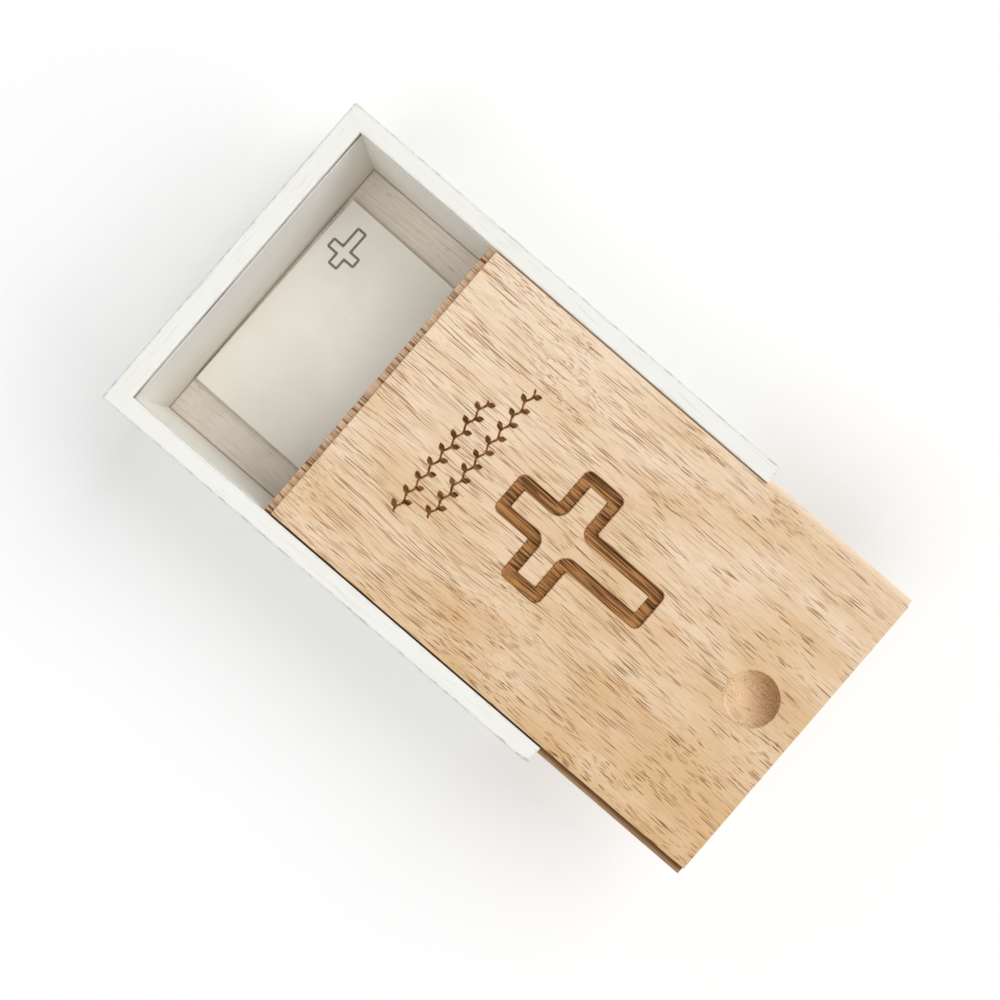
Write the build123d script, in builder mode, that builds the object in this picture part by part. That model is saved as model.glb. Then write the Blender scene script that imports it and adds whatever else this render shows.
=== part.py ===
from build123d import *
import os

# A prayer box: a painted wooden box with a natural wooden lid that slides in grooves, and a
# stack of cards inside. Millimetres. X is across the box, Y along it with the back at +Y, and
# +Z is up. The origin is the middle of the underside that the box stands on. The lid is drawn
# partly out towards -Y, as the box is when a card is taken.

# Driving dimensions of the box
box_width = 132.0           # outside, across X
box_length = 190.5          # outside, along Y
box_height = 63.5           # from the table to the rim
side_wall = 6.7             # thickness of the two long walls
end_wall = 7.8              # thickness of the front and back walls
edge_easing = 0.5           # radius that the outer edges are sanded to

# Corner joints: the end walls are let into the side walls
housing_depth = 2.0

# Floor panel, glued into a rebate round the bottom of the walls, flush with the underside
floor_thickness = 4.0
floor_seat = 3.0            # how far the floor runs into each wall
floor_play = 0.2            # clearance past the floor's edge in its rebate

# Lid
lid_thickness = 6.4
tongue_thickness = 3.8
tongue_reach = 2.7          # width of the step along both sides and the inner end
lid_easing = 0.4            # radius of the lid's top edges
lid_overhang = 2.5          # how far the closed lid stands past the front of the box
lid_opening = 61.0          # how far the lid is drawn out, as it stands

# Clearances of the lid in its groove
lid_side_gap = 0.7          # between the top face and the lip on each side
lid_end_gap = 0.4           # between the top face and the back lip when closed
lid_seat_gap = 0.1          # under the tongue
lid_lift_play = 0.2         # above the tongue
groove_play = 0.6           # past the tongue's edge, to the bottom of the groove

# Finger dish in the lid
dish_diameter = 19.7
dish_depth = 3.6
dish_from_end = 20.2        # from the lid's outer end to the middle of the dish

# Latin cross, a flat-bottomed cut between an outer outline and an island left standing. Places
# along the lid are those of the outer outline, measured from the lid's outer end, and the halves
# are measured from its middle line.
cross_head = 129.0
cross_arm_top = 112.9
cross_arm_bottom = 96.1
cross_foot = 64.8
cross_stem_half = 8.1
cross_arm_half = 23.5
cut_width = 4.4
cut_depth = 0.9
outline_corner = 2.6        # radius of the outline at the head, the foot and the arms' ends
outline_crook = 0.8         # radius of the outline in the four crooks of the arms
island_corner = 0.5         # radius of the island at its ends
island_crook = 4.5          # radius of the island in the four crooks of the arms

# Cards
card_count = 6
card_width = 88.9
card_length = 127.0
card_thickness = 0.4
card_middle_x = -0.25
card_back_gap = 1.65        # from the back wall to the middle of the cards' back edge
card_turn = -0.75           # how far the top card is turned, in degrees
card_fan = 0.12             # how much less each lower card is turned, in degrees

# Worked out from the sizes above
inner_half_width = box_width / 2 - side_wall
inner_half_length = box_length / 2 - end_wall
ledge_height = box_height - lid_thickness - lid_seat_gap
groove_height = lid_seat_gap + tongue_thickness + lid_lift_play
side_groove_depth = tongue_reach - lid_side_gap + groove_play
back_groove_depth = tongue_reach - lid_end_gap + groove_play
groove_back = inner_half_length + back_groove_depth
floor_half_width = inner_half_width + floor_seat
floor_half_length = inner_half_length + floor_seat
end_wall_half = inner_half_width + housing_depth
lid_bottom = ledge_height + lid_seat_gap
lid_top = lid_bottom + lid_thickness
lid_top_width = 2 * (inner_half_width - lid_side_gap)
lid_closed_end = inner_half_length - lid_end_gap
lid_top_length = lid_closed_end + box_length / 2 + lid_overhang
lid_outer_end = lid_closed_end - lid_opening - lid_top_length
dish_sphere = ((dish_diameter / 2) ** 2 + dish_depth**2) / (2 * dish_depth)
card_middle_y = inner_half_length - card_back_gap - card_length / 2

# Long walls. The lid's groove is open at the front and stops inside the back wall.
with BuildPart() as left_side_wall:
    with BuildSketch(Plane.XY) as left_plan:
        with Locations((-box_width / 2 + side_wall / 2, 0)):
            Rectangle(side_wall, box_length)
    extrude(amount=box_height)
    outer_side = left_side_wall.faces().sort_by(Axis.X)[0]
    rim = left_side_wall.faces().sort_by(Axis.Z)[-1]
    fillet(set(outer_side.edges() + rim.edges()), radius=edge_easing)
    # Lid groove
    with BuildSketch(Plane.XY.offset(ledge_height)) as left_groove_plan:
        with Locations((-inner_half_width, (groove_back - box_length / 2) / 2)):
            Rectangle(2 * side_groove_depth, groove_back + box_length / 2)
    extrude(amount=groove_height, mode=Mode.SUBTRACT)
    # Floor rebate
    with BuildSketch(Plane.XY) as left_floor_plan:
        with Locations((-inner_half_width, 0)):
            Rectangle(2 * (floor_seat + floor_play), 2 * (floor_half_length + floor_play))
    extrude(amount=floor_thickness, mode=Mode.SUBTRACT)
    # Housing for the back wall, right up to the rim
    with BuildSketch(Plane.XY) as left_back_plan:
        with Locations((-inner_half_width, box_length / 2 - end_wall / 2)):
            Rectangle(2 * housing_depth, end_wall)
    extrude(amount=box_height, mode=Mode.SUBTRACT)
    # Housing for the front wall, stopped at the ledge that the lid slides on
    with BuildSketch(Plane.XY) as left_front_plan:
        with Locations((-inner_half_width, -box_length / 2 + end_wall / 2)):
            Rectangle(2 * housing_depth, end_wall)
    extrude(amount=ledge_height, mode=Mode.SUBTRACT)
left_side_wall.part.label = "left_side_wall"

with BuildPart() as right_side_wall:
    mirror(left_side_wall.part, about=Plane.YZ)
right_side_wall.part.label = "right_side_wall"

# Back wall, as high as the rim, with the groove that the lid's inner end runs into
with BuildPart() as back_end_wall:
    with BuildSketch(Plane.XY) as back_plan:
        with Locations((0, box_length / 2 - end_wall / 2)):
            Rectangle(2 * end_wall_half, end_wall)
    extrude(amount=box_height)
    fillet(back_end_wall.edges().filter_by(Axis.X), radius=edge_easing)
    with BuildSketch(Plane.XY.offset(ledge_height)) as back_groove_plan:
        with Locations((0, inner_half_length)):
            Rectangle(2 * end_wall_half, 2 * back_groove_depth)
    extrude(amount=groove_height, mode=Mode.SUBTRACT)
    with BuildSketch(Plane.XY) as back_floor_plan:
        with Locations((0, inner_half_length)):
            Rectangle(2 * end_wall_half, 2 * (floor_seat + floor_play))
    extrude(amount=floor_thickness, mode=Mode.SUBTRACT)
back_end_wall.part.label = "back_end_wall"

# Front wall, only as high as the ledge, so that the lid passes over it
with BuildPart() as front_end_wall:
    with BuildSketch(Plane.XY) as front_plan:
        with Locations((0, -box_length / 2 + end_wall / 2)):
            Rectangle(2 * end_wall_half, end_wall)
    extrude(amount=ledge_height)
    fillet(front_end_wall.edges().filter_by(Axis.X), radius=edge_easing)
    with BuildSketch(Plane.XY) as front_floor_plan:
        with Locations((0, -inner_half_length)):
            Rectangle(2 * end_wall_half, 2 * (floor_seat + floor_play))
    extrude(amount=floor_thickness, mode=Mode.SUBTRACT)
front_end_wall.part.label = "front_end_wall"

# Floor panel
with BuildPart() as floor_panel:
    with BuildSketch(Plane.XY) as floor_plan:
        Rectangle(2 * floor_half_width, 2 * floor_half_length)
    extrude(amount=floor_thickness)
floor_panel.part.label = "floor_panel"

# The cut of the cross. Its outline and its island each have eight corners at the head, the foot
# and the arms' ends, and four crooks beside the arms.
with BuildPart() as cross_cutter:
    with BuildSketch(Plane.XY.offset(lid_top)) as cut_plan:
        for inset, corner, crook, combination in (
            (0, outline_corner, outline_crook, Mode.ADD),
            (cut_width, island_corner, island_crook, Mode.SUBTRACT),
        ):
            stem = cross_stem_half - inset
            arm = cross_arm_half - inset
            head = lid_outer_end + cross_head - inset
            arm_top = lid_outer_end + cross_arm_top - inset
            arm_bottom = lid_outer_end + cross_arm_bottom + inset
            foot = lid_outer_end + cross_foot + inset
            right_half = [
                (stem, head),
                (stem, arm_top),
                (arm, arm_top),
                (arm, arm_bottom),
                (stem, arm_bottom),
                (stem, foot),
            ]
            left_half = [(-x, y) for x, y in reversed(right_half)]
            half_radii = [corner, crook, corner, corner, crook, corner]
            with BuildLine() as cross_line:
                FilletPolyline(*right_half, *left_half, radius=half_radii * 2, close=True)
            make_face(mode=combination)
    extrude(amount=-cut_depth)

# Lid: one board, stepped along both sides and the inner end to leave a thin tongue
with BuildPart() as lid_panel:
    with BuildSketch(Plane.XY.offset(lid_bottom)) as lid_plan:
        with Locations((0, lid_outer_end + lid_top_length / 2)):
            Rectangle(lid_top_width, lid_top_length)
    extrude(amount=lid_thickness)
    fillet(lid_panel.faces().sort_by(Axis.Z)[-1].edges(), radius=lid_easing)
    with BuildSketch(Plane.XY.offset(lid_bottom)) as tongue_plan:
        with Locations((0, lid_outer_end + (lid_top_length + tongue_reach) / 2)):
            Rectangle(lid_top_width + 2 * tongue_reach, lid_top_length + tongue_reach)
    extrude(amount=tongue_thickness)
    with Locations((0, lid_outer_end + dish_from_end, lid_top - dish_depth + dish_sphere)):
        Sphere(dish_sphere, mode=Mode.SUBTRACT)
    add(cross_cutter.part, mode=Mode.SUBTRACT)
lid_panel.part.label = "lid_panel"

# Cards, lying on the floor in a slightly fanned stack
cards = []
for index in range(card_count):
    card_plane = Plane((card_middle_x, card_middle_y, floor_thickness + index * card_thickness))
    turn = card_turn + card_fan * (card_count - 1 - index)
    with BuildPart() as prayer_card:
        with BuildSketch(card_plane.rotated((0, 0, turn))) as card_plan:
            Rectangle(card_width, card_length)
        extrude(amount=card_thickness)
    prayer_card.part.label = f"prayer_card_{index + 1}"
    cards.append(prayer_card)

os.makedirs("parts", exist_ok=True)
export_step(left_side_wall.part, "parts/left_side_wall.step")
export_step(right_side_wall.part, "parts/right_side_wall.step")
export_step(back_end_wall.part, "parts/back_end_wall.step")
export_step(front_end_wall.part, "parts/front_end_wall.step")
export_step(floor_panel.part, "parts/floor_panel.step")
export_step(lid_panel.part, "parts/lid_panel.step")
for card in cards:
    export_step(card.part, f"parts/{card.part.label}.step")
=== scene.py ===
"""A prayer box: a painted wooden box, its natural wooden sliding lid and a stack of cards inside.

Lengths in this file are in millimetres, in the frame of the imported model: X is across the box, Y
along it with the back at +Y, and +Z is up. They are turned into metres where a mesh is made.
Colours are written as sRGB, from 0 to 255.
"""

import logging
import math
from dataclasses import dataclass, field
from enum import Enum
from typing import Iterable, Sequence, Union

import bmesh
import bpy
import numpy as np
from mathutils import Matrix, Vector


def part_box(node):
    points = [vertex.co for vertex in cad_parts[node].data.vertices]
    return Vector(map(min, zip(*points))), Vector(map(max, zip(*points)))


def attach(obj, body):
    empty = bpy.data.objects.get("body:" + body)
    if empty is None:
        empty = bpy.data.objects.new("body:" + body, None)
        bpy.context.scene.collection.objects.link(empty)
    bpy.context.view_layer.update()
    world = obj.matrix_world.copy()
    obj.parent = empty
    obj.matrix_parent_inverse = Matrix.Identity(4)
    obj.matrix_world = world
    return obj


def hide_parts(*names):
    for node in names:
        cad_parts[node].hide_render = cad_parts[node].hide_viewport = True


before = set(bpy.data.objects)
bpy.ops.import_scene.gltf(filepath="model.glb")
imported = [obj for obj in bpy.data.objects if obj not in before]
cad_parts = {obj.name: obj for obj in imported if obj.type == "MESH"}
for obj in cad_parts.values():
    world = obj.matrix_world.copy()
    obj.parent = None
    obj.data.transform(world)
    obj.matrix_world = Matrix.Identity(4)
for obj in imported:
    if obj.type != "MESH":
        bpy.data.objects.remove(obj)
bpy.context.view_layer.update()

METRES = 0.001
MERGE_DISTANCE = 2e-6
LEAST_EDGE = 1e-7
CRISP_ANGLE = math.radians(32)
TOUCHING = 1e-6
log = logging.getLogger("prayer_box")


# Shader arithmetic


class Value:
    """A number that varies over a surface: the output socket of a node, with arithmetic."""

    def __init__(self, graph: "Graph", socket: bpy.types.NodeSocket) -> None:
        """Wraps an output socket of a graph."""
        self.graph = graph
        self.socket = socket

    def __add__(self, other: "Number") -> "Value":
        """Self plus other."""
        return self.graph.math("ADD", self, other)

    def __radd__(self, other: "Number") -> "Value":
        """Other plus self."""
        return self.graph.math("ADD", other, self)

    def __sub__(self, other: "Number") -> "Value":
        """Self minus other."""
        return self.graph.math("SUBTRACT", self, other)

    def __rsub__(self, other: "Number") -> "Value":
        """Other minus self."""
        return self.graph.math("SUBTRACT", other, self)

    def __mul__(self, other: "Number") -> "Value":
        """Self times other."""
        return self.graph.math("MULTIPLY", self, other)

    def __rmul__(self, other: "Number") -> "Value":
        """Other times self."""
        return self.graph.math("MULTIPLY", other, self)

    def __truediv__(self, other: "Number") -> "Value":
        """Self divided by other."""
        return self.graph.math("DIVIDE", self, other)

    def __rtruediv__(self, other: "Number") -> "Value":
        """Other divided by self."""
        return self.graph.math("DIVIDE", other, self)

    def __neg__(self) -> "Value":
        """Minus self."""
        return self.graph.math("MULTIPLY", self, -1.0)

    def __abs__(self) -> "Value":
        """Self without its sign."""
        return self.graph.math("ABSOLUTE", self)


Number = Union[Value, float]
Colour = tuple[float, float, float, float]
Tone = Union[bpy.types.NodeSocket, Colour]
Place = tuple[Number, Number, Number]


def colour(red: float, green: float, blue: float) -> Colour:
    """Turns an sRGB colour into the linear numbers that a socket takes.

    Args:
        red: red part, 0 to 255.
        green: green part, 0 to 255.
        blue: blue part, 0 to 255.

    Returns:
        The linear red, green and blue, and an alpha of 1.
    """
    parts = [part / 255 for part in (red, green, blue)]
    linear = [p / 12.92 if p <= 0.04045 else ((p + 0.055) / 1.055) ** 2.4 for p in parts]
    return (linear[0], linear[1], linear[2], 1.0)


class Graph:
    """The nodes of one material or world, made from plain calls."""

    MATH_SOCKETS = ("Value", "Value_001", "Value_002")

    def __init__(self, tree: bpy.types.NodeTree) -> None:
        """Empties a node tree and keeps it."""
        tree.nodes.clear()
        self.tree = tree

    def node(
        self, kind: str, settings: dict | None = None, inputs: dict | None = None
    ) -> bpy.types.Node:
        """Adds a node.

        Args:
            kind: Blender's name of the node's type.
            settings: the node's own settings, which are made first.
            inputs: what goes into its sockets, by a socket's identifier or name: a link from a
                Value or an output socket, or a plain number, vector or colour.

        Returns:
            The new node.
        """
        made = self.tree.nodes.new(kind)
        for name, setting in (settings or {}).items():
            setattr(made, name, setting)
        for name, given in (inputs or {}).items():
            socket = next(s for s in made.inputs if name in (s.identifier, s.name))
            source = given.socket if isinstance(given, Value) else given
            if isinstance(source, bpy.types.NodeSocket):
                self.tree.links.new(source, socket)
            else:
                socket.default_value = source
        return made

    def math(self, operation: str, *operands: Number) -> Value:
        """Adds a Math node on one to three numbers and gives its result."""
        inputs = dict(zip(self.MATH_SOCKETS, operands))
        return Value(self, self.node("ShaderNodeMath", {"operation": operation}, inputs).outputs[0])

    def place(self) -> Place:
        """Gives the place of the shaded point.

        Returns:
            Its three Object coordinates, in millimetres.
        """
        inputs = {"Vector": self.node("ShaderNodeTexCoord").outputs["Object"], "Scale": 1 / METRES}
        scaled = self.node("ShaderNodeVectorMath", {"operation": "SCALE"}, inputs)
        parts = self.node("ShaderNodeSeparateXYZ", None, {"Vector": scaled.outputs[0]}).outputs
        return Value(self, parts[0]), Value(self, parts[1]), Value(self, parts[2])

    def vector(self, where: Place) -> bpy.types.NodeSocket:
        """Joins three numbers into a vector."""
        return self.node("ShaderNodeCombineXYZ", None, dict(zip("XYZ", where))).outputs[0]

    def noise(self, where: Place, detail: float = 1.0, roughness: float = 0.5) -> Value:
        """Gives a smooth random number, mostly 0.3 to 0.7, that changes over one unit of where.

        Args:
            where: the place that is looked up.
            detail: how many finer layers are added.
            roughness: how strong each finer layer is against the last.

        Returns:
            The number.
        """
        inputs = {"Vector": self.vector(where), "Scale": 1.0}
        inputs |= {"Detail": detail, "Roughness": roughness}
        return Value(self, self.node("ShaderNodeTexNoise", None, inputs).outputs[0])

    def cells(self, where: Place) -> tuple[Value, Value, Value]:
        """Scatters one seed in each unit cube of where.

        Args:
            where: the place that is looked up.

        Returns:
            The distance to the nearest seed, and two random numbers that belong to that seed.
        """
        inputs = {"Vector": self.vector(where), "Scale": 1.0, "Randomness": 1.0}
        made = self.node("ShaderNodeTexVoronoi", None, inputs)
        parts = self.node("ShaderNodeSeparateColor", None, {"Color": made.outputs["Color"]}).outputs
        return Value(self, made.outputs["Distance"]), Value(self, parts[0]), Value(self, parts[1])

    def pores(
        self,
        where: Place,
        radius: tuple[float, float],
        strength: tuple[float, float],
        density: Number = 1.0,
        core: float = 0.4,
    ) -> Value:
        """Scatters pores, one in each unit cube of where, each of its own size and strength.

        Args:
            where: the place that is looked up.
            radius: the smallest pore's radius, and how much wider the widest is.
            strength: the faintest pore's strength, and how much stronger the strongest is.
            density: what the radii are multiplied by, from place to place.
            core: the share of its radius over which a pore is at full strength.

        Returns:
            The pores' strength, 0 between them.
        """
        distance, size, share = self.cells(where)
        reach = (radius[0] + radius[1] * size) * density
        return self.smooth(distance, reach, reach * core) * (strength[0] + strength[1] * share)

    def smooth(self, value: Number, start: Number, end: Number) -> Value:
        """Gives a smooth step.

        Args:
            value: the number that it follows.
            start: where it is 0. Where start is larger than end, it falls.
            end: where it is 1.

        Returns:
            The step, from 0 to 1.
        """
        inputs = {"Value": value, "From Min": start, "From Max": end, "To Min": 0.0, "To Max": 1.0}
        made = self.node("ShaderNodeMapRange", {"interpolation_type": "SMOOTHSTEP"}, inputs)
        return Value(self, made.outputs[0])

    def blend(self, first: Tone, second: Tone, factor: Number) -> bpy.types.NodeSocket:
        """Mixes two colours.

        Args:
            first: the colour at a factor of 0.
            second: the colour at a factor of 1.
            factor: how much of the second there is.

        Returns:
            The mixed colour.
        """
        inputs = {"Factor_Float": factor, "A_Color": first, "B_Color": second}
        made = self.node("ShaderNodeMix", {"data_type": "RGBA", "clamp_factor": True}, inputs)
        return next(s for s in made.outputs if s.identifier == "Result_Color")

    def layered(self, tone: Tone, *layers: tuple[Tone, Number]) -> Tone:
        """Mixes more colours into one.

        Args:
            tone: the first colour.
            layers: the other colours in their order, each with its own factor.

        Returns:
            The mixed colour.
        """
        for added, factor in layers:
            tone = self.blend(tone, added, factor)
        return tone

    def attribute(self, name: str) -> Value:
        """Gives a number that is kept at each corner of the mesh."""
        made = self.node("ShaderNodeAttribute", {"attribute_name": name})
        return Value(self, made.outputs["Fac"])

    def relief(self, height: Value) -> bpy.types.NodeSocket:
        """Gives the normal of a surface raised by a height in millimetres."""
        inputs = {"Strength": 1.0, "Distance": METRES, "Height": height}
        return self.node("ShaderNodeBump", None, inputs).outputs[0]


def new_material(name: str) -> tuple[bpy.types.Material, Graph]:
    """Makes a material.

    Args:
        name: its name.

    Returns:
        The material and the graph of its nodes.
    """
    made = bpy.data.materials.new(name)
    made.use_nodes = True
    return made, Graph(made.node_tree)


def surface(
    graph: Graph, tone: Tone, roughness: Number, specular: float, height: Value | None = None
) -> None:
    """Ends a material's graph with one Principled surface.

    Args:
        graph: the graph of the material.
        tone: its colour.
        roughness: how dull it is.
        specular: how strongly it shines.
        height: its relief in millimetres, if it has one.
    """
    inputs = {"Base Color": tone, "Roughness": roughness, "Specular IOR Level": specular}
    if height is not None:
        inputs["Normal"] = graph.relief(height)
    shader = graph.node("ShaderNodeBsdfPrincipled", None, inputs)
    graph.node("ShaderNodeOutputMaterial", None, {"Surface": shader.outputs[0]})


# Finishes


class Grain(Enum):
    """The way that the grain of a board runs."""

    ALONG_X = "x"
    ALONG_Y = "y"


@dataclass(frozen=True)
class LidWood:
    """Pale open-pored wood under a thin clear oil, and the brown of its burnt and routed places.

    The pores are spindles scattered through the board along its grain, so the top shows them as
    dashes and a cut across the grain shows them as dots.
    """

    pale: Colour = colour(245, 223, 196)
    tan: Colour = colour(223, 188, 143)
    warm: Colour = colour(218, 160, 112)
    fibre: Colour = colour(199, 154, 108)
    rust: Colour = colour(188, 134, 78)
    pore: Colour = colour(110, 64, 22)
    routed: Colour = colour(230, 196, 160)
    # painted highlight: the paler right tread and the pale edge inside the finger dish
    painted_highlight: Colour = colour(250, 228, 202)
    dished: Colour = colour(244, 208, 166)
    # painted shade: the darker left tread
    painted_shade: Colour = colour(156, 126, 92)
    burnt: Colour = colour(185, 131, 80)
    # painted light: the side of a burnt band that faces the key lamp
    lit_burnt: Colour = colour(203, 151, 91)
    # char, and painted shade on the risers and on the shaded side of a burnt band
    char_and_shade: Colour = colour(58, 28, 9)
    top_height: float = 63.5
    step_from_middle: float = 58.6
    inner_step: float = 26.05
    roughness: float = 0.52
    specular: float = 0.12

    def material(self) -> bpy.types.Material:
        """Builds the material.

        Returns:
            The material, which reads the attributes "char", "scorch" and
            "burnish" of the lid's mesh; the last two carry painted light and shade.
        """
        made, graph = new_material("lid_wood")
        x, y, z = graph.place()
        smooth, noise = graph.smooth, graph.noise

        # The grain wanders slowly from side to side
        drift = noise((x / 42, y / 95, z / 42))
        swirl = noise((x / 7 + 31, y / 22, z / 7))
        across = x + (drift - 0.5) * 8 + (swirl - 0.5) * 0.7
        deep = z + (noise((x / 60 + 7, y / 110, z / 60)) - 0.5) * 9

        # Pores, which come in clusters with bare wood between them
        cluster = noise((across / 4.2 + 3, y / 19, deep / 4.2), 1.5) - x * 0.0007
        cluster = smooth(cluster, 0.36, 0.58)
        where = (across / 0.35, y / 14, deep / 0.35)
        density = 0.25 + 0.75 * cluster
        dashes = graph.pores(where, (0.2, 0.25), (0.42, 0.58), density, core=0.6)
        where = (across / 0.5 + 9, y / 24, deep / 0.5)
        density = 0.4 + 0.6 * cluster
        long_dashes = graph.pores(where, (0.1, 0.22), (0.65, 0.35), density, core=0.65)

        # Long fine lines, stronger towards the inner end of the lid
        lines = smooth(noise((across / 0.42, y / 26, deep / 0.9), 1.0), 0.58, 0.66)
        lines = lines * (0.4 + 0.6 * smooth(y, -120, 10))
        pores = graph.math("MAXIMUM", dashes, long_dashes)
        pores = graph.math("MAXIMUM", pores, lines * 0.62)
        pores = pores * (0.8 + 0.34 * smooth(y, 15, -105))

        fibres = noise((across / 0.24, y / 7, deep / 0.26), 2.0, 0.6)
        bands = noise((across / 4.5, y / 150, deep / 4.5), 2.0)
        patches = noise((x / 15, y / 30, z / 15), 2.0)
        flares = smooth(noise((across / 1.1, y / 10, deep / 1.1), 2.0), 0.54, 0.72)
        flares = flares * (0.25 + 0.75 * cluster)

        # Clear wood, paler to the right and more tan to the left and the outer end
        tan_share = 0.5 + (patches - 0.5) * 1.5 - x * 0.005 - (y + 65) * 0.0027
        tone = graph.layered(
            self.pale,
            (self.tan, tan_share),
            (self.fibre, smooth(bands, 0.5, 0.72) * 0.2),
            (self.warm, flares * 0.5),
            (self.fibre, smooth(fibres, 0.42, 0.76) * 0.4),
            (self.rust, smooth(pores, 0.0, 0.6) * 0.5),
            (self.pore, smooth(pores, 0.1, 1.0)),
        )

        # Painted shade browns the slope of the finger dish that faces away from the key lamp, a
        # ring at its rim is darker, and a painted highlight pales the edge just inside the rim on
        # the side that faces the lamp
        burnish = graph.attribute("burnish")
        in_dish = smooth(burnish, 0.0, 0.1)
        speckle = smooth(noise((x / 0.34, y / 0.5, z / 0.34), 2.0), 0.5, 0.6)
        streak = smooth(noise((x / 0.5 + 5, y / 9, 0.0), 1.0), 0.6, 0.68)
        tone = graph.layered(
            tone,
            (self.dished, in_dish * 0.45),
            (self.painted_highlight, smooth(-burnish, 0.0, 0.45) * 0.6),
            (self.rust, burnish * 0.6),
            (self.pore, burnish * (0.18 + 0.34 * fibres)),
            (self.pore, burnish * speckle * 0.55),
            (self.pore, in_dish * streak * 0.4),
        )

        # Darker stripes are the pores that a cut has opened
        stripes = smooth(noise((across / 0.6, y / 20, deep / 1.4), 1.5), 0.5, 0.57)
        fine_stripes = smooth(noise((across / 0.27 + 40, y / 20, deep / 1.4), 1.0), 0.49, 0.6)
        blocks = smooth(noise((across / 1.9 + 12, y / 30, deep / 3), 1.0), 0.44, 0.56)
        open_pores = graph.math("MAXIMUM", stripes, pores)
        routed = stripes * 0.25 + fine_stripes * (0.3 + 0.65 * blocks) + blocks * 0.14
        routed = graph.blend(self.routed, self.pore, routed)

        # The treads of the inner end and of both sides, and the risers above the side treads
        # Painted shade darkens the left tread, most beside its riser, and the risers, the left one
        # more; painted light pales the right tread
        step = self.step_from_middle
        cut = smooth(self.top_height - z, 0.3, 0.9)
        inner = smooth(y, self.inner_step - 0.25, self.inner_step) * cut
        left = smooth(-x, step - 0.25, step) * cut
        right = smooth(x, step - 0.25, step) * cut
        riser = smooth(abs(x), step + 0.35, step + 0.05)
        riser = smooth(abs(x), step - 0.2, step) * riser * cut
        shade = smooth(-x, step + 2.4, step + 0.4) * left
        tone = graph.layered(
            tone,
            (routed, inner * 0.95),
            (self.painted_shade, left * 0.8),
            (self.painted_highlight, right * 0.75),
            (self.pore, shade * 0.85),
            (self.char_and_shade, riser * (0.6 - 0.35 * right)),
        )

        # Burnt bands, with painted shade on the side away from the key lamp and painted light on
        # the side facing it, and the black of fine marks
        char = graph.attribute("char")
        wander = noise((across / 1.7, y / 13 + 3, deep / 1.7), 1.0)
        scorch = graph.attribute("scorch") * 0.8 + (wander - 0.5) * 2.4
        burnt = graph.layered(
            self.burnt,
            (self.lit_burnt, scorch * -0.6),
            (self.char_and_shade, scorch * 0.14),
            (self.char_and_shade, open_pores * (0.76 + 0.12 * scorch)),
            (self.char_and_shade, fine_stripes * (0.5 + 0.2 * scorch)),
        )
        tone = graph.layered(tone, (burnt, char), (self.char_and_shade, smooth(char, 1.0, 1.6) * 0.55))

        roughness = self.roughness + pores * 0.2 + char * 0.2
        height = pores * -0.06 + fibres * 0.02 + open_pores * char * -0.06
        surface(graph, tone, roughness, self.specular, height)
        return made


@dataclass(frozen=True)
class PaintedWood:
    """Thin white paint over open grain, brushed along the board and worn at its arrises."""

    grain: Grain
    white: Colour = colour(241, 241, 236)
    cream: Colour = colour(238, 236, 226)
    # painted light: the whiter inner faces
    inside: Colour = colour(254, 252, 245)
    # painted shade: the inner faces darken towards their foot
    thin: Colour = colour(214, 204, 186)
    grey: Colour = colour(205, 203, 192)
    bare: Colour = colour(168, 160, 142)
    seam: Colour = colour(120, 104, 84)
    floor_height: float = 4.0
    ledge: float = 57.0
    inner_half_width: float = 59.3
    inner_half_length: float = 87.45
    roughness: float = 0.55
    specular: float = 0.4

    def material(self) -> bpy.types.Material:
        """Builds the material.

        Returns:
            The material, which reads the attribute "arris" of a wall's mesh.
        """
        made, graph = new_material(f"painted_wood_{self.grain.value}")
        x, y, height = graph.place()
        across, along = (y, x) if self.grain is Grain.ALONG_X else (x, y)
        smooth, noise = graph.smooth, graph.noise
        drift = noise((across / 20, along / 60, height / 20))
        side = across + (drift - 0.5) * 5
        level = height + (drift - 0.5) * 5

        streaks = smooth(noise((side / 0.55, along / 22, level / 0.55), 2.0), 0.52, 0.7)
        patches = smooth(noise((across / 9, along / 26, height / 9), 2.0), 0.4, 0.65)
        where = (side / 0.8, along / 7, level / 0.8)
        pores = graph.pores(where, (0.04, 0.2), (0.0, 1.0), 0.4 + 0.6 * patches)
        mottle = noise((across / 14, along / 18, height / 14), 2.0)
        chipping = noise((across / 1.1, along / 3.5, height / 1.1), 2.0, 0.6)
        arris = graph.attribute("arris")
        worn = arris * smooth(chipping, 0.46, 0.64)
        # darker at the foot of the inner faces where they meet the floor: a dark joint, and painted
        # shade in the corner
        joint = smooth(height, self.floor_height + 0.9, self.floor_height)
        within = smooth(abs(x), self.inner_half_width + 0.5, self.inner_half_width + 0.2)
        within = within * smooth(abs(y), self.inner_half_length + 0.5, self.inner_half_length + 0.2)
        half = self.inner_half_length if self.grain is Grain.ALONG_X else self.inner_half_width
        beyond = abs(across) - half
        # painted shade: the ledge under the lip is darker
        groove = smooth(beyond, 0.35, 0.6) * smooth(beyond, 3.1, 2.95)
        groove = groove * smooth(abs(height - self.ledge), 0.3, 0.1)

        tone = graph.layered(
            self.white,
            (self.cream, smooth(mottle, 0.35, 0.75) * 0.6),
            # painted light: the inner faces are painted whiter than the outside
            (self.inside, within * 0.85),
            # painted shade: the inner faces darken towards their foot
            (self.thin, smooth(height, 38, 4) * within * 0.3),
            (self.grey, streaks * (0.12 + 0.28 * patches) * (1 - within * 0.6)),
            (self.grey, pores * 0.8),
            # painted shade: a grey line along the outer eased edges
            (self.grey, arris * 0.3 * (1 - within)),
            (self.bare, worn * 0.5),
            (self.seam, joint * within * 0.35),
            (self.seam, groove * (0.45 + 0.5 * patches)),
        )
        roughness = self.roughness + streaks * 0.1 + worn * 0.15
        relief = streaks * -0.02 + pores * -0.05 + mottle * 0.05
        surface(graph, tone, roughness, self.specular, relief)
        return made


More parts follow.
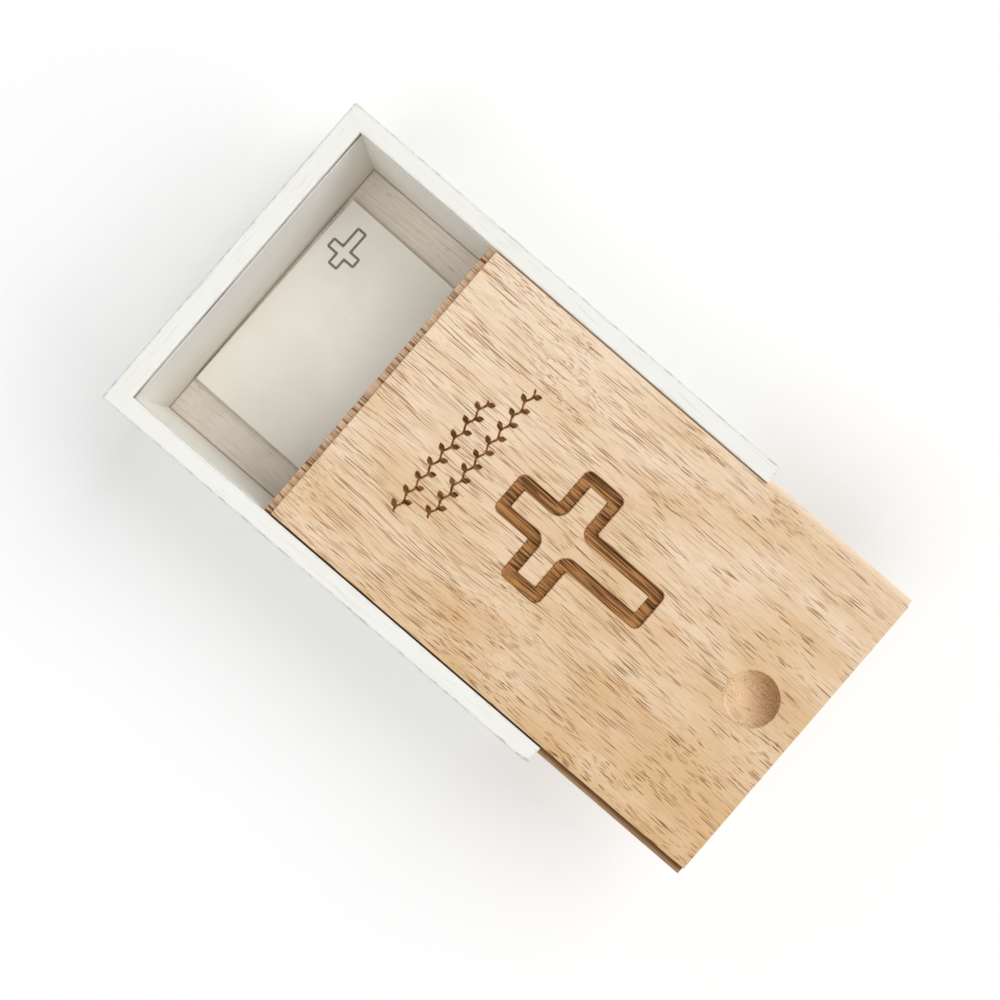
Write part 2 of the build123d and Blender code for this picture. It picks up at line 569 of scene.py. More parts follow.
@dataclass(frozen=True)
class WashedFloor:
    """A floor panel under one thin grey-white wash, with its grain along the box."""

    wash: Colour = colour(238, 228, 217)
    brown: Colour = colour(212, 198, 183)
    pale: Colour = colour(248, 241, 233)
    pore: Colour = colour(150, 132, 112)
    seam: Colour = colour(110, 96, 80)
    inner_half_width: float = 59.3
    inner_half_length: float = 87.45
    edge_band: float = 0.9
    roughness: float = 0.7
    specular: float = 0.3

    def material(self) -> bpy.types.Material:
        """Builds the material.

        Returns:
            The material.
        """
        made, graph = new_material("floor_wood")
        x, y, z = graph.place()
        smooth, noise = graph.smooth, graph.noise
        drift = noise((x / 25, y / 70, z / 25))
        across = x + (drift - 0.5) * 7
        streaks = noise((across / 0.8, y / 26, z / 0.8), 3.0, 0.6)
        fine = noise((across / 0.35, y / 9, z / 0.35), 2.0)
        patches = noise((x / 12, y / 18, z / 12), 2.0)
        pores = graph.pores((across / 0.9, y / 6, z / 0.9), (0.06, 0.22), (0.0, 1.0))
        # darker along the walls: a dark joint, and painted shade in the corner
        edge_x = smooth(abs(x), self.inner_half_width - self.edge_band, self.inner_half_width)
        edge_y = smooth(abs(y), self.inner_half_length - self.edge_band, self.inner_half_length)

        tone = graph.layered(
            self.wash,
            (self.brown, smooth(streaks, 0.42, 0.72) * 0.65),
            (self.pale, smooth(patches, 0.5, 0.7) * 0.5),
            (self.brown, smooth(fine, 0.5, 0.75) * 0.4),
            (self.pore, pores * 0.55),
            (self.seam, graph.math("MAXIMUM", edge_x, edge_y) * 0.7),
        )
        relief = pores * -0.04 + fine * 0.02
        surface(graph, tone, self.roughness + pores * 0.1, self.specular, relief)
        return made


@dataclass(frozen=True)
class CardPaper:
    """Warm white uncoated card with faint flecks, and a small printed outline of a cross.

    The print is given in the card's own frame, from the card's middle, with its head towards -X.
    """

    middle_x: float
    middle_y: float
    turn: float
    paper: Colour = colour(253, 249, 241)
    shade: Colour = colour(243, 238, 228)
    fleck: Colour = colour(168, 156, 140)
    ink: Colour = colour(112, 108, 102)
    stem_middle: tuple[float, float] = (29.3, 53.1)
    stem_half: tuple[float, float] = (8.9, 2.3)
    arms_middle: tuple[float, float] = (27.2, 53.1)
    arms_half: tuple[float, float] = (2.3, 6.6)
    corner: float = 0.9
    line_width: float = 1.0
    line_softness: float = 0.07
    joining: float = 0.9
    roughness: float = 0.75
    specular: float = 0.3

    def material(self) -> bpy.types.Material:
        """Builds the material.

        Returns:
            The material.
        """
        made, graph = new_material("card_paper")
        x, y, z = graph.place()
        smooth, noise = graph.smooth, graph.noise
        cosine = math.cos(self.turn)
        sine = math.sin(self.turn)
        right = (x - self.middle_x) * cosine + (y - self.middle_y) * sine
        up = (y - self.middle_y) * cosine - (x - self.middle_x) * sine
        stem = self.box_distance(graph, right, up, self.stem_middle, self.stem_half)
        arms = self.box_distance(graph, right, up, self.arms_middle, self.arms_half)
        half = self.line_width / 2
        from_line = abs(graph.math("SMOOTH_MIN", stem, arms, self.joining) + half)
        ink = smooth(from_line, half + self.line_softness, half - self.line_softness)

        pulp = noise((x / 1.3, y / 1.3, z), 3.0, 0.6)
        clouds = noise((x / 26, y / 26, z), 2.0)
        distance, size, tone_of_fleck = graph.cells((x / 3.1, y / 3.7, z))
        flecks = smooth(distance, 0.11 * size, 0.03 * size) * smooth(tone_of_fleck, 0.6, 1.0)
        tone = graph.layered(
            self.paper,
            (self.shade, smooth(clouds, 0.35, 0.7) * 0.5 + (pulp - 0.5) * 0.3),
            (self.fleck, flecks * 0.6),
            (self.ink, ink * (0.82 + 0.18 * pulp)),
        )
        roughness = self.roughness + (pulp - 0.5) * 0.1
        surface(graph, tone, roughness, self.specular, pulp * 0.02)
        return made

    def box_distance(
        self, graph: Graph, right: Value, up: Value, middle: Sequence[float], half: Sequence[float]
    ) -> Value:
        """Gives the distance from a rectangle with round corners, negative inside it.

        It is the length of what is left of the place after the half sizes are taken off it,
        plus the larger of the two where both are negative, less the corner's radius.

        Args:
            graph: the graph of the material.
            right: the place to the right on the card.
            up: the place up the card.
            middle: the middle of the rectangle.
            half: its half sizes.

        Returns:
            The distance in millimetres.
        """
        beyond_x = abs(right - middle[0]) - (half[0] - self.corner)
        beyond_y = abs(up - middle[1]) - (half[1] - self.corner)
        outer_x = graph.math("MAXIMUM", beyond_x, 0.0)
        outer_y = graph.math("MAXIMUM", beyond_y, 0.0)
        outer = graph.math("SQRT", outer_x * outer_x + outer_y * outer_y)
        inner = graph.math("MINIMUM", graph.math("MAXIMUM", beyond_x, beyond_y), 0.0)
        return outer + inner - self.corner


# Geometry


def spaced(start: float, end: float, step: float) -> np.ndarray:
    """Gives evenly spaced places from start to end, at most a step apart, ends included."""
    count = max(1, math.ceil(abs(end - start) / step))
    return np.linspace(start, end, count + 1)


def merged(parts: Iterable[np.ndarray], least: float = 0.004) -> np.ndarray:
    """Joins runs of places into one sorted run and drops those closer together than least."""
    places = np.unique(np.concatenate([np.atleast_1d(part) for part in parts]))
    return places[np.concatenate([[True], np.diff(places) > least])]


def ripple(along: np.ndarray, seed: int, longest: float, waves: int = 7) -> np.ndarray:
    """Gives a smooth seeded line between 0 and 1.

    It is the sum of cosines, each a fixed share shorter and lower than the last, with phases drawn
    at random, brought into 0 to 1 by the sum of their heights.

    Args:
        along: the places.
        seed: the seed of the phases.
        longest: the length of the longest wave.
        waves: how many waves are added.

    Returns:
        The line's value at each place.
    """
    shorter, lower = 0.61, 0.75
    order = np.arange(waves)
    lengths = longest * shorter**order
    heights = lower**order
    phases = np.random.default_rng(seed).uniform(0, 2 * np.pi, waves)
    angles = 2 * np.pi * np.asarray(along)[..., None] / lengths + phases
    return 0.5 + 0.5 * (heights * np.cos(angles)).sum(axis=-1) / heights.sum()


def rounding(inward: np.ndarray, radius: np.ndarray | float) -> np.ndarray:
    """Gives how far a quarter-round edge has dropped, at a distance inward from the edge.

    The drop is the radius less the height of its circle, and 0 past the radius.
    """
    left = np.clip(np.asarray(radius) - inward, 0, None)
    return radius - np.sqrt(np.clip(np.asarray(radius) ** 2 - left**2, 0, None))


def run(rings: int, outward: np.ndarray | float, height: np.ndarray | float) -> np.ndarray:
    """Gives one run of profile points for each ring.

    Args:
        rings: how many rings there are.
        outward: distance outward from the inner face: a number, one for each ring, or a table
            with a row for each ring.
        height: the height, in the same forms.

    Returns:
        A table of rings by points by (outward, height).
    """
    first, second = (np.asarray(a, float) for a in (outward, height))
    first, second = (a[:, None] if a.ndim == 1 else a for a in (first, second))
    shape = np.broadcast_shapes(first.shape, second.shape, (rings, 1))
    return np.stack([np.broadcast_to(first, shape), np.broadcast_to(second, shape)], axis=-1)


def arc(
    rings: int,
    corner: tuple[np.ndarray | float, np.ndarray | float],
    inward: tuple[int, int],
    radius: np.ndarray | float,
    start: float,
    steps: int = 5,
) -> np.ndarray:
    """Rounds a corner of the profile over a quarter circle, clockwise.

    Its centre is one radius inward of the corner both ways, and its points lie a radius from it
    at even angles.

    Args:
        rings: how many rings there are.
        corner: where the two sides would meet, outward and up.
        inward: the signs of the way from the corner to the centre.
        radius: the radius, or one for each ring.
        start: the angle of its first point, in degrees from outward.
        steps: how many points it has.

    Returns:
        A table of rings by points by (outward, height).
    """
    angles = np.radians(start - np.linspace(0, 90, steps))[None, :]
    radii = np.broadcast_to(np.asarray(radius, float), (rings,))[:, None]
    across, up = (np.broadcast_to(np.asarray(c, float), (rings,))[:, None] for c in corner)
    outward = across + radii * (inward[0] + np.cos(angles))
    return run(rings, outward, up + radii * (inward[1] + np.sin(angles)))


def carried(
    name: str, rings: np.ndarray, attributes: dict[str, np.ndarray] | None = None
) -> bpy.types.Object:
    """Makes a closed solid from a closed profile carried along a path.

    Each ring is joined to the next by four-sided faces, and the first and last ring are closed by
    a face each. Points that fall together are merged, and the faces are turned outwards.

    Args:
        name: the piece's name.
        rings: a table of rings by points by XYZ, in millimetres.
        attributes: numbers kept at the points, each a table of rings by points.

    Returns:
        The new object, at the origin.
    """
    count, width = rings.shape[:2]
    index = np.arange(count * width).reshape(count, width)
    after = np.roll(index, -1, axis=1)
    quads = np.stack([index[:-1], after[:-1], after[1:], index[1:]], axis=-1).reshape(-1, 4)
    faces = [*quads.tolist(), index[0][::-1].tolist(), index[-1].tolist()]
    mesh = bpy.data.meshes.new(name)
    mesh.from_pydata((rings.reshape(-1, 3) * METRES).tolist(), [], faces)
    for key, values in (attributes or {}).items():
        layer = mesh.attributes.new(key, "FLOAT", "POINT")
        layer.data.foreach_set("value", values.astype(np.float32).ravel())
    return finished(name, mesh)


def finished(name: str, mesh: bpy.types.Mesh) -> bpy.types.Object:
    """Merges doubles, turns faces outwards, shades smooth with crisp edges and links the piece.

    Args:
        name: the piece's name.
        mesh: its mesh, which is changed.

    Returns:
        The new object, at the origin.
    """
    work = bmesh.new()
    work.from_mesh(mesh)
    bmesh.ops.remove_doubles(work, verts=work.verts, dist=MERGE_DISTANCE)
    bmesh.ops.dissolve_degenerate(work, edges=work.edges, dist=LEAST_EDGE)
    bmesh.ops.recalc_face_normals(work, faces=work.faces)
    work.to_mesh(mesh)
    work.free()
    mesh.shade_smooth()
    mesh.set_sharp_from_angle(angle=CRISP_ANGLE)
    made = bpy.data.objects.new(name, mesh)
    bpy.context.scene.collection.objects.link(made)
    return made


def dress(
    piece: bpy.types.Object, material: bpy.types.Material, body: str, node: str
) -> None:
    """Gives a new piece its material and body, and says which node it stands for.

    Args:
        piece: the piece.
        material: its material.
        body: the body that carries it.
        node: the node that it replaces.
    """
    piece.data.materials.append(material)
    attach(piece, body)
    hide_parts(node)
    log.info("%s: %d faces, stands for %s", piece.name, len(piece.data.polygons), node)


def extent(node: str) -> tuple[np.ndarray, np.ndarray]:
    """Gives a node's lowest and highest corners at rest, in millimetres."""
    low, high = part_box(node)
    return np.array(low) / METRES, np.array(high) / METRES


# The box


@dataclass
class LidFit:
    """The grooves that the lid slides in, and the seat of the floor, as depths into a wall."""

    lid_bottom: float = field(default_factory=lambda: float(extent("lid_panel")[0][2]))
    floor_top: float = field(default_factory=lambda: float(extent("floor_panel")[1][2]))
    tongue_thickness: float = 3.8
    seat_gap: float = 0.1
    lift_play: float = 0.2
    side_groove: float = 2.6
    back_groove: float = 2.9
    floor_rebate: float = 3.2
    floor_play: float = 0.2
    housing: float = 2.0

    @property
    def ledge(self) -> float:
        """The height that the tongue slides on."""
        return self.lid_bottom - self.seat_gap

    @property
    def groove_top(self) -> float:
        """The height of the lip's underside."""
        return self.lid_bottom + self.tongue_thickness + self.lift_play


class Side(Enum):
    """The two long walls."""

    LEFT = -1
    RIGHT = 1


class End(Enum):
    """The two end walls."""

    FRONT = -1
    BACK = 1


Profile = list[tuple[np.ndarray, float]]


def joined(parts: Profile) -> tuple[np.ndarray, np.ndarray]:
    """Joins the parts of a profile.

    Args:
        parts: the parts, in order.

    Returns:
        A table of rings by points by (depth, height), and one of how worn each point is.
    """
    points = np.concatenate([part for part, _ in parts], axis=1)
    worn = np.concatenate([np.full(part.shape[:2], amount) for part, amount in parts], axis=1)
    return points, worn


@dataclass(kw_only=True)
class Wall:
    """What the four walls share: edges eased by wear, and the profile round a wall.

    A profile is a list of parts, each a table of rings by points by (depth, height) with how worn
    it is. Depths are measured outward from the wall's inner face.
    """

    fit: LidFit
    easing: float = 0.5
    hidden_easing: float = 0.02
    wear: float = 0.16
    longest_wave: float = 45.0
    unworn_end: float = 12.0
    ring_step: float = 1.2
    cut_step: float = 0.05
    edge_strip: float = 0.3
    levels: tuple[float, ...] = (40.0, 24.0, 9.0)
    groove_wear: float = 0.1
    inner_wear: float = 0.35

    def eased(self, along: np.ndarray, half: float, seed: int) -> np.ndarray:
        """Gives the radius of an eased edge along the wall.

        It is the plain radius, more or less by a smooth random share and by what chipped adds,
        fading to the plain radius at the wall's ends.

        Args:
            along: the places along the wall.
            half: how far the edge runs to each side of the middle.
            seed: the seed of the wear.

        Returns:
            The radius at each place.
        """
        away_from_ends = np.clip((half - abs(along)) / self.unworn_end, 0, 1)
        worn = (ripple(along, seed, self.longest_wave) - 0.5) * 2 * self.wear * self.easing
        return self.easing + (worn + self.chipped(along, seed)) * away_from_ends

    def chipped(self, along: np.ndarray, seed: int) -> np.ndarray:
        """Gives what chips add to an edge's radius, which is nothing on a plain wall."""
        return np.zeros_like(along)

    def inside(
        self,
        rings: int,
        rebate: np.ndarray | float,
        lower: np.ndarray | float,
        groove: np.ndarray | float,
        lip: np.ndarray | float,
    ) -> Profile:
        """Gives the profile up the inside of a wall, as far as the underside of the lip.

        Args:
            rings: how many rings there are.
            rebate: the depth of the floor's rebate.
            lower: the depth of the inner face below the groove.
            groove: the depth of the groove.
            lip: the depth of the inner face above the groove.

        Returns:
            The seven parts: three up to the inner face's foot, and four round the groove.
        """
        fit = self.fit
        corners = [
            (rebate, 0.0, 0.0),
            (rebate, fit.floor_top, 0.0),
            (lower, fit.floor_top, 0.0),
            (lower, fit.ledge, self.groove_wear),
            (groove, fit.ledge, 0.0),
            (groove, fit.groove_top, 0.0),
            (lip, fit.groove_top, self.groove_wear),
        ]
        return [(run(rings, depth, height), worn) for depth, height, worn in corners]

    def over_rim(
        self,
        lip: np.ndarray | float,
        outer: np.ndarray,
        top: np.ndarray,
        easings: tuple[np.ndarray, np.ndarray],
        first_level: float,
    ) -> Profile:
        """Gives the profile up the lip, over the rim, down the outer face and round its foot.

        Args:
            lip: the depth of the inner face above the groove.
            outer: the depth of the outer face at each ring.
            top: the height of the rim at each ring.
            easings: the radius of the rim's inner and outer edge at each ring.
            first_level: the height of the highest line across the outer face.

        Returns:
            The parts, in order.
        """
        rings = len(outer)
        inner_easing, outer_easing = easings
        strip = self.edge_strip
        heights = np.array([[first_level, *self.levels]])
        return [
            (run(rings, lip, top - inner_easing - strip), 0.0),
            (arc(rings, (lip, top), (1, -1), inner_easing, 180), self.inner_wear),
            (run(rings, lip + inner_easing + strip, top), 0.0),
            (run(rings, outer - outer_easing - strip, top), 0.0),
            (arc(rings, (outer, top), (-1, -1), outer_easing, 90), 1.0),
            (run(rings, outer, top - outer_easing - strip), 0.0),
            (run(rings, outer[:, None], heights), 0.0),
            (run(rings, outer, self.easing + strip), 0.0),
            (arc(rings, (outer, 0.0), (-1, 1), self.easing, 0), 1.0),
        ]


@dataclass(kw_only=True)
class SideWall(Wall):
    """A long wall, with its groove, its rebate for the floor and its housings for the end walls.

    It is a profile of depth and height carried along Y, whose depths change where a cut starts or
    ends. The rim and the outer edges are eased, more in some places than in others, and the front
    outer corner may be broken off a little.
    """

    side: Side
    end_rings: tuple[float, ...] = (0.0, 0.06, 0.16, 0.3, 0.5)
    end_strip: float = 0.56
    end_wear: float = 0.7
    below_ledge: float = 1.5
    chips: int = 5
    chip_lengths: tuple[float, float] = (0.8, 2.2)
    chip_depths: tuple[float, float] = (0.08, 0.3)
    broken_corner: float = 0.0
    broken_length: float = 2.2

    @property
    def node(self) -> str:
        """The node that the wall stands for."""
        return f"{self.side.name.lower()}_side_wall"

    def build(self) -> bpy.types.Object:
        """Builds the wall's mesh.

        Returns:
            The wall, with the attribute "arris", which is 1 along its eased edges.
        """
        low, high = extent(self.node)
        inner = high[0] if self.side is Side.LEFT else low[0]
        end, top = high[1:]
        room = extent("back_end_wall")[0][1]
        floor_end = extent("floor_panel")[1][1] + self.fit.floor_play
        groove_end = room + self.fit.back_groove

        cuts = np.array([-floor_end, -room, room, groove_end, floor_end])
        cuts = np.concatenate([cuts - self.cut_step / 2, cuts + self.cut_step / 2])
        from_end = np.array(self.end_rings)
        y = merged([spaced(-end, end, self.ring_step), from_end - end, end - from_end, cuts])
        seed = 20 + self.side.value
        inset = rounding(end - abs(y), self.easing)
        outer_easing = self.eased(y, end, seed)
        outer_easing += self.broken_corner * np.exp(-(((y + end) / self.broken_length) ** 2))
        in_room = abs(y) < room
        inner_easing = np.where(in_room, self.eased(y, end, seed + 50), self.hidden_easing)

        rebate = np.where(abs(y) < floor_end, self.fit.floor_rebate, self.fit.housing)
        lower = np.where(in_room, 0.0, self.fit.housing)
        groove = np.where(y < groove_end, self.fit.side_groove, self.fit.housing)
        lip = np.where(y < room, 0.0, self.fit.housing)
        outer = high[0] - low[0] - inset
        easings = (inner_easing, outer_easing)
        parts = self.inside(len(y), rebate, lower, groove, lip)
        parts += self.over_rim(lip, outer, top - inset, easings, self.fit.ledge - self.below_ledge)
        points, arris = joined(parts)
        at_end = (end - abs(y) < self.end_strip)[:, None]
        arris = np.maximum(arris, at_end * self.end_wear)
        x = inner + self.side.value * points[..., 0]
        place = np.stack([x, np.broadcast_to(y[:, None], x.shape), points[..., 1]], axis=-1)
        return carried(f"{self.side.name.lower()}_wall", place, {"arris": arris})

    def chipped(self, along: np.ndarray, seed: int) -> np.ndarray:
        """Gives what a few small chips add to an edge's radius, each a bump of a bell curve.

        Args:
            along: the places along the wall.
            seed: the seed of the chips.

        Returns:
            What is added at each place.
        """
        random = np.random.default_rng(seed)
        middles = random.uniform(along.min(), along.max(), self.chips)
        lengths = random.uniform(*self.chip_lengths, self.chips)
        depths = random.uniform(*self.chip_depths, self.chips)
        bells = np.exp(-(((along[:, None] - middles) / lengths) ** 2))
        return (bells * depths).sum(axis=1)


@dataclass(kw_only=True)
class EndWall(Wall):
    """An end wall, let into the side walls, with its rebate for the floor.

    It is a profile of depth and height carried along X. The back wall is as high as the rim and
    has a groove. The front wall stops at the ledge, so that the lid passes over it.
    """

    end: End
    longest_wave: float = 38.0
    below_top: float = 3.0

    @property
    def node(self) -> str:
        """The node that the wall stands for."""
        return f"{self.end.name.lower()}_end_wall"

    def build(self) -> bpy.types.Object:
        """Builds the wall's mesh.

        Returns:
            The wall, with the attribute "arris", which is 1 along its eased edges.
        """
        low, high = extent(self.node)
        inner = low[1] if self.end is End.BACK else high[1]
        half, top = high[0], high[2]
        shoulder = half - self.fit.housing
        cuts = np.array([shoulder, shoulder + self.cut_step])
        x = merged([spaced(-half, half, self.ring_step), -cuts, cuts])
        rings = len(x)
        seed = 40 + self.end.value
        inner_easing = self.eased(x, shoulder, seed + 50)
        inner_easing = np.where(abs(x) <= shoulder, inner_easing, self.hidden_easing)
        easings = (inner_easing, self.eased(x, shoulder, seed))
        parts = self.inside(rings, self.fit.floor_rebate, 0.0, self.fit.back_groove, 0.0)
        if self.end is End.FRONT:
            parts = parts[:3]
        outer = np.full(rings, high[1] - low[1])
        parts += self.over_rim(0.0, outer, np.full(rings, top), easings, top - self.below_top)
        points, arris = joined(parts)
        y = inner + self.end.value * points[..., 0]
        place = np.stack([np.broadcast_to(x[:, None], y.shape), y, points[..., 1]], axis=-1)
        return carried(f"{self.end.name.lower()}_wall", place, {"arris": arris})


@dataclass
class PaintedBox:
    """The four painted walls and the washed floor panel."""

    fit: LidFit = field(default_factory=LidFit)
    broken_corner: float = 1.3

    def build(self) -> None:
        """Builds and dresses the walls, and gives the floor panel its finish."""
        along = PaintedWood(Grain.ALONG_Y).material()
        across = PaintedWood(Grain.ALONG_X).material()
        for side in Side:
            broken = self.broken_corner if side is Side.LEFT else 0.0
            wall = SideWall(fit=self.fit, side=side, broken_corner=broken)
            dress(wall.build(), along, "box", wall.node)
        for end in End:
            wall = EndWall(fit=self.fit, end=end)
            dress(wall.build(), across, "box", wall.node)
        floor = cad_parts["floor_panel"]
        floor.data.materials.clear()
        floor.data.materials.append(WashedFloor().material())
        log.info("floor_panel: kept, with a new finish")


# The lid


@dataclass
class CrossCut:
    """A Latin cross burnt in as a band between a rounded outline and a rounded island.

    Places along the lid are measured from its outer end.
    """

    head: float = 129.0
    arm_top: float = 112.9
    arm_bottom: float = 96.1
    foot: float = 64.8
    stem_half: float = 8.1
    arm_half: float = 23.5
    width: float = 4.4
    depth: float = 0.9
    corner: float = 2.6
    crook: float = 0.8
    island_corner: float = 0.5
    island_crook: float = 4.5
    foot_radius: float = 0.85
    rib_height: float = 0.16
    halo: float = 0.7
    halo_char: float = 0.4
    # the way towards the key lamp, which sets where a band gets painted light and painted shade
    lit_side: tuple[float, float] = (0.93, -0.37)

    def outline(self, outer_end: float, island: bool) -> np.ndarray:
        """Gives the points round the outline or the island.

        Each corner is a quarter circle that touches both of its sides: its centre is one radius
        from each, and its points turn evenly from one side to the other.

        Args:
            outer_end: the Y of the lid's outer end.
            island: True for the island, False for the outline.

        Returns:
            A closed run of points, as a table of XY.
        """
        inset = self.width if island else 0.0
        corner, crook = (
            (self.island_corner, self.island_crook) if island else (self.corner, self.crook)
        )
        stem = self.stem_half - inset
        arm = self.arm_half - inset
        head = outer_end + self.head - inset
        arm_top = outer_end + self.arm_top - inset
        arm_bottom = outer_end + self.arm_bottom + inset
        foot = outer_end + self.foot + inset
        right = [
            (stem, head),
            (stem, arm_top),
            (arm, arm_top),
            (arm, arm_bottom),
            (stem, arm_bottom),
            (stem, foot),
        ]
        corners = np.array(right + [(-x, y) for x, y in reversed(right)])
        radii = np.array([corner, crook, corner, corner, crook, corner] * 2)
        before = np.roll(corners, 1, axis=0) - corners
        after = np.roll(corners, -1, axis=0) - corners
        before /= np.linalg.norm(before, axis=1)[:, None]
        after /= np.linalg.norm(after, axis=1)[:, None]
        turn = np.linspace(0, np.pi / 2, 9)[None, :, None]
        centres = corners + radii[:, None] * (before + after)
        spokes = -after[:, None, :] * np.cos(turn) - before[:, None, :] * np.sin(turn)
        return (centres[:, None, :] + radii[:, None, None] * spokes).reshape(-1, 2)

    def cut(
        self, points: np.ndarray, outline: np.ndarray, island: np.ndarray
    ) -> tuple[np.ndarray, np.ndarray, np.ndarray]:
        """Cuts and burns the band.

        It is a groove with a flat bottom and a quarter circle at the foot of each side, and its
        bottom is ribbed a little along the grain. Beside it the burn fades with the square of
        the distance.

        Args:
            points: places on the lid's top, a table of XY.
            outline: the points round the outline.
            island: the points round the island.

        Returns:
            The depth, how burnt the wood is, and its painted light and shade, from -1 on the side
            of the band lit by the key lamp to 1 on its shaded side, for each place.
        """
        outside, outer_foot, within_outline = nearest(points, outline)
        inside, inner_foot, within_island = nearest(points, island)
        from_edge = np.minimum(outside, inside)
        on_edge = from_edge < TOUCHING
        in_band = within_outline & ~within_island & ~on_edge
        bite = np.clip(from_edge / self.foot_radius, 0, 1)
        x, y = points.T
        ribs = (ripple(x, 71, 2.6, 4) - 0.5) * ripple(y + 3 * x, 72, 22)
        groove = self.depth * np.sqrt(1 - (1 - bite) ** 2) - self.rib_height * ribs * bite
        halo = self.halo_char * np.clip(1 - from_edge / self.halo, 0, 1) ** 2
        foot = np.where((outside < inside)[:, None], outer_foot, inner_foot)
        facing = (points - foot) @ self.lit_side / np.maximum(from_edge, TOUCHING)
        side = -facing * np.clip(1 - from_edge / (self.width / 2), 0, 1) ** 0.7
        return (
            np.where(in_band, np.clip(groove, 0, None), 0.0),
            np.where(in_band | on_edge, 1.0, halo),
            np.where(in_band, np.clip(side * 1.25, -1, 1), 0.0),
        )


@dataclass
class FingerDish:
    """A round dish that is part of a sphere. Its place is measured from the lid's outer end."""

    diameter: float = 19.7
    depth: float = 3.6
    from_end: float = 20.2
    steps: int = 96
    rim_reach: float = 0.42
    rim_darkening: float = 0.3
    highlight_inset: float = 1.2
    highlight_reach: float = 1.1
    polish: float = 0.55
    # painted shade falls on the dish's side along painted_shade_side, the painted highlight along
    # highlight_side
    painted_shade_side: tuple[float, float] = (0.74, -0.67)
    highlight_side: tuple[float, float] = (-0.95, 0.31)

    def outline(self, outer_end: float) -> np.ndarray:
        """Gives the points round the dish.

        Args:
            outer_end: the Y of the lid's outer end.

        Returns:
            A closed run of points, evenly round a circle, as a table of XY.
        """
        radius = self.diameter / 2
        middle_y = outer_end + self.from_end
        turn = np.linspace(0, 2 * np.pi, self.steps, endpoint=False)
        return np.stack([radius * np.cos(turn), middle_y + radius * np.sin(turn)], axis=1)

    def cut(self, x: np.ndarray, y: np.ndarray, outer_end: float) -> tuple[np.ndarray, np.ndarray]:
        """Cuts the dish, as deep as its sphere lies below the lid's top.

        Painted shade browns its slope that faces away from the key lamp, a ring at its rim is
        darker, and a painted highlight pales the edge just inside the rim on the other side.

        Args:
            x: places across the lid.
            y: places along the lid.
            outer_end: the Y of the lid's outer end.

        Returns:
            The depth, and how much painted shade and rim darkening there is, below 0 where the
            painted highlight is, at each place.
        """
        radius = self.diameter / 2
        along = y - (outer_end + self.from_end)
        away = np.hypot(x, along)
        sphere = (radius**2 + self.depth**2) / (2 * self.depth)
        bowl = np.sqrt(np.clip(sphere**2 - away**2, 0, None)) - (sphere - self.depth)
        place = np.stack([x, along], axis=-1) / radius
        painted_shade = 0.12 + 0.88 * np.clip(place @ self.painted_shade_side * 1.05 + 0.22, 0, 1)
        rim = self.rim_darkening * np.clip(1 - abs(away - radius) / self.rim_reach, 0, 1)
        shade_and_highlight = np.maximum(rim, np.where(away < radius + TOUCHING, painted_shade, 0.0))
        edge = abs(away - radius + self.highlight_inset)
        highlight_share = self.polish * np.clip(1 - edge / self.highlight_reach, 0, 1)
        shade_and_highlight -= highlight_share * np.clip(1.8 * (place @ self.highlight_side) - 0.7, 0, 1)
        return np.where(away < radius, bowl, 0.0), shade_and_highlight


@dataclass
class LeafBand:
    """A plain running band of leaves on a wavy stem, burnt lightly into the lid.

    The stem is a sine wave along X, and a leaf stands at each of its crests and troughs.
    """

    middle_y: float
    start_x: float
    end_x: float
    pitch: float = 3.1
    wave: float = 0.55
    stem_half: float = 0.36
    leaf_length: float = 3.1
    leaf_half: float = 0.95
    lean: float = math.radians(52)

    def distance(self, x: np.ndarray, y: np.ndarray) -> np.ndarray:
        """Gives how far a place is outside the band's marks, negative inside them.

        The stem is a strip about the sine wave. A leaf is a strip about its own midrib, whose
        half width is a sine from nothing at its root to nothing at its tip.

        Args:
            x: places across the lid.
            y: places along the lid.

        Returns:
            The distance at each place.
        """
        phase = np.pi * (x - self.start_x) / self.pitch
        within = np.maximum(self.start_x - x, x - self.end_x)
        from_wave = abs(y - self.middle_y - self.wave * np.sin(phase))
        stem = np.maximum(from_wave - self.stem_half, within)
        count = int((self.end_x - self.start_x) / self.pitch)
        order = np.arange(count)
        root_x = self.start_x + (order + 0.5) * self.pitch
        up = np.where(order % 2 == 0, 1.0, -1.0)
        root_y = self.middle_y + self.wave * up
        reach_x = np.full(count, math.cos(self.lean))
        reach_y = up * math.sin(self.lean)
        across = x[..., None] - root_x
        along = y[..., None] - root_y
        share = np.clip((across * reach_x + along * reach_y) / self.leaf_length, -0.3, 1.3)
        beside = abs(along * reach_x - across * reach_y)
        bulge = self.leaf_half * np.sin(np.pi * np.clip(share, 0, 1)) ** 0.8
        past = np.maximum(-share, share - 1) * self.leaf_length
        leaves = np.maximum(beside - bulge, past).min(axis=-1)
        return np.minimum(stem, leaves)


def nearest(points: np.ndarray, outline: np.ndarray) -> tuple[np.ndarray, np.ndarray, np.ndarray]:
    """Finds the nearest place on a closed outline.

    Each point is dropped square onto every side of the outline, kept between the side's ends, and
    the closest is taken. A point is inside if a line to its right crosses the outline an odd
    number of times.

    Args:
        points: a table of XY.
        outline: the outline's corners, a table of XY.

    Returns:
        The distance, the nearest place and whether the point is inside, for each point.
    """
    start = outline[None]
    side = np.roll(outline, -1, axis=0)[None] - start
    offset = points[:, None] - start
    length = np.maximum((side**2).sum(-1), 1e-12)
    share = np.clip((offset * side).sum(-1) / length, 0, 1)
    foot = start + share[..., None] * side
    distances = np.linalg.norm(points[:, None] - foot, axis=-1)
    best = distances.argmin(axis=1)
    rows = np.arange(len(points))
    end = start + side
    spans = (start[..., 1] > points[:, None, 1]) != (end[..., 1] > points[:, None, 1])
    rise = np.where(side[..., 1] == 0, 1e-12, side[..., 1])
    cross_x = start[..., 0] + side[..., 0] * (points[:, None, 1] - start[..., 1]) / rise
    crossings = (spans & (cross_x > points[:, None, 0])).sum(axis=1)
    return distances[rows, best], foot[rows, best], crossings % 2 == 1


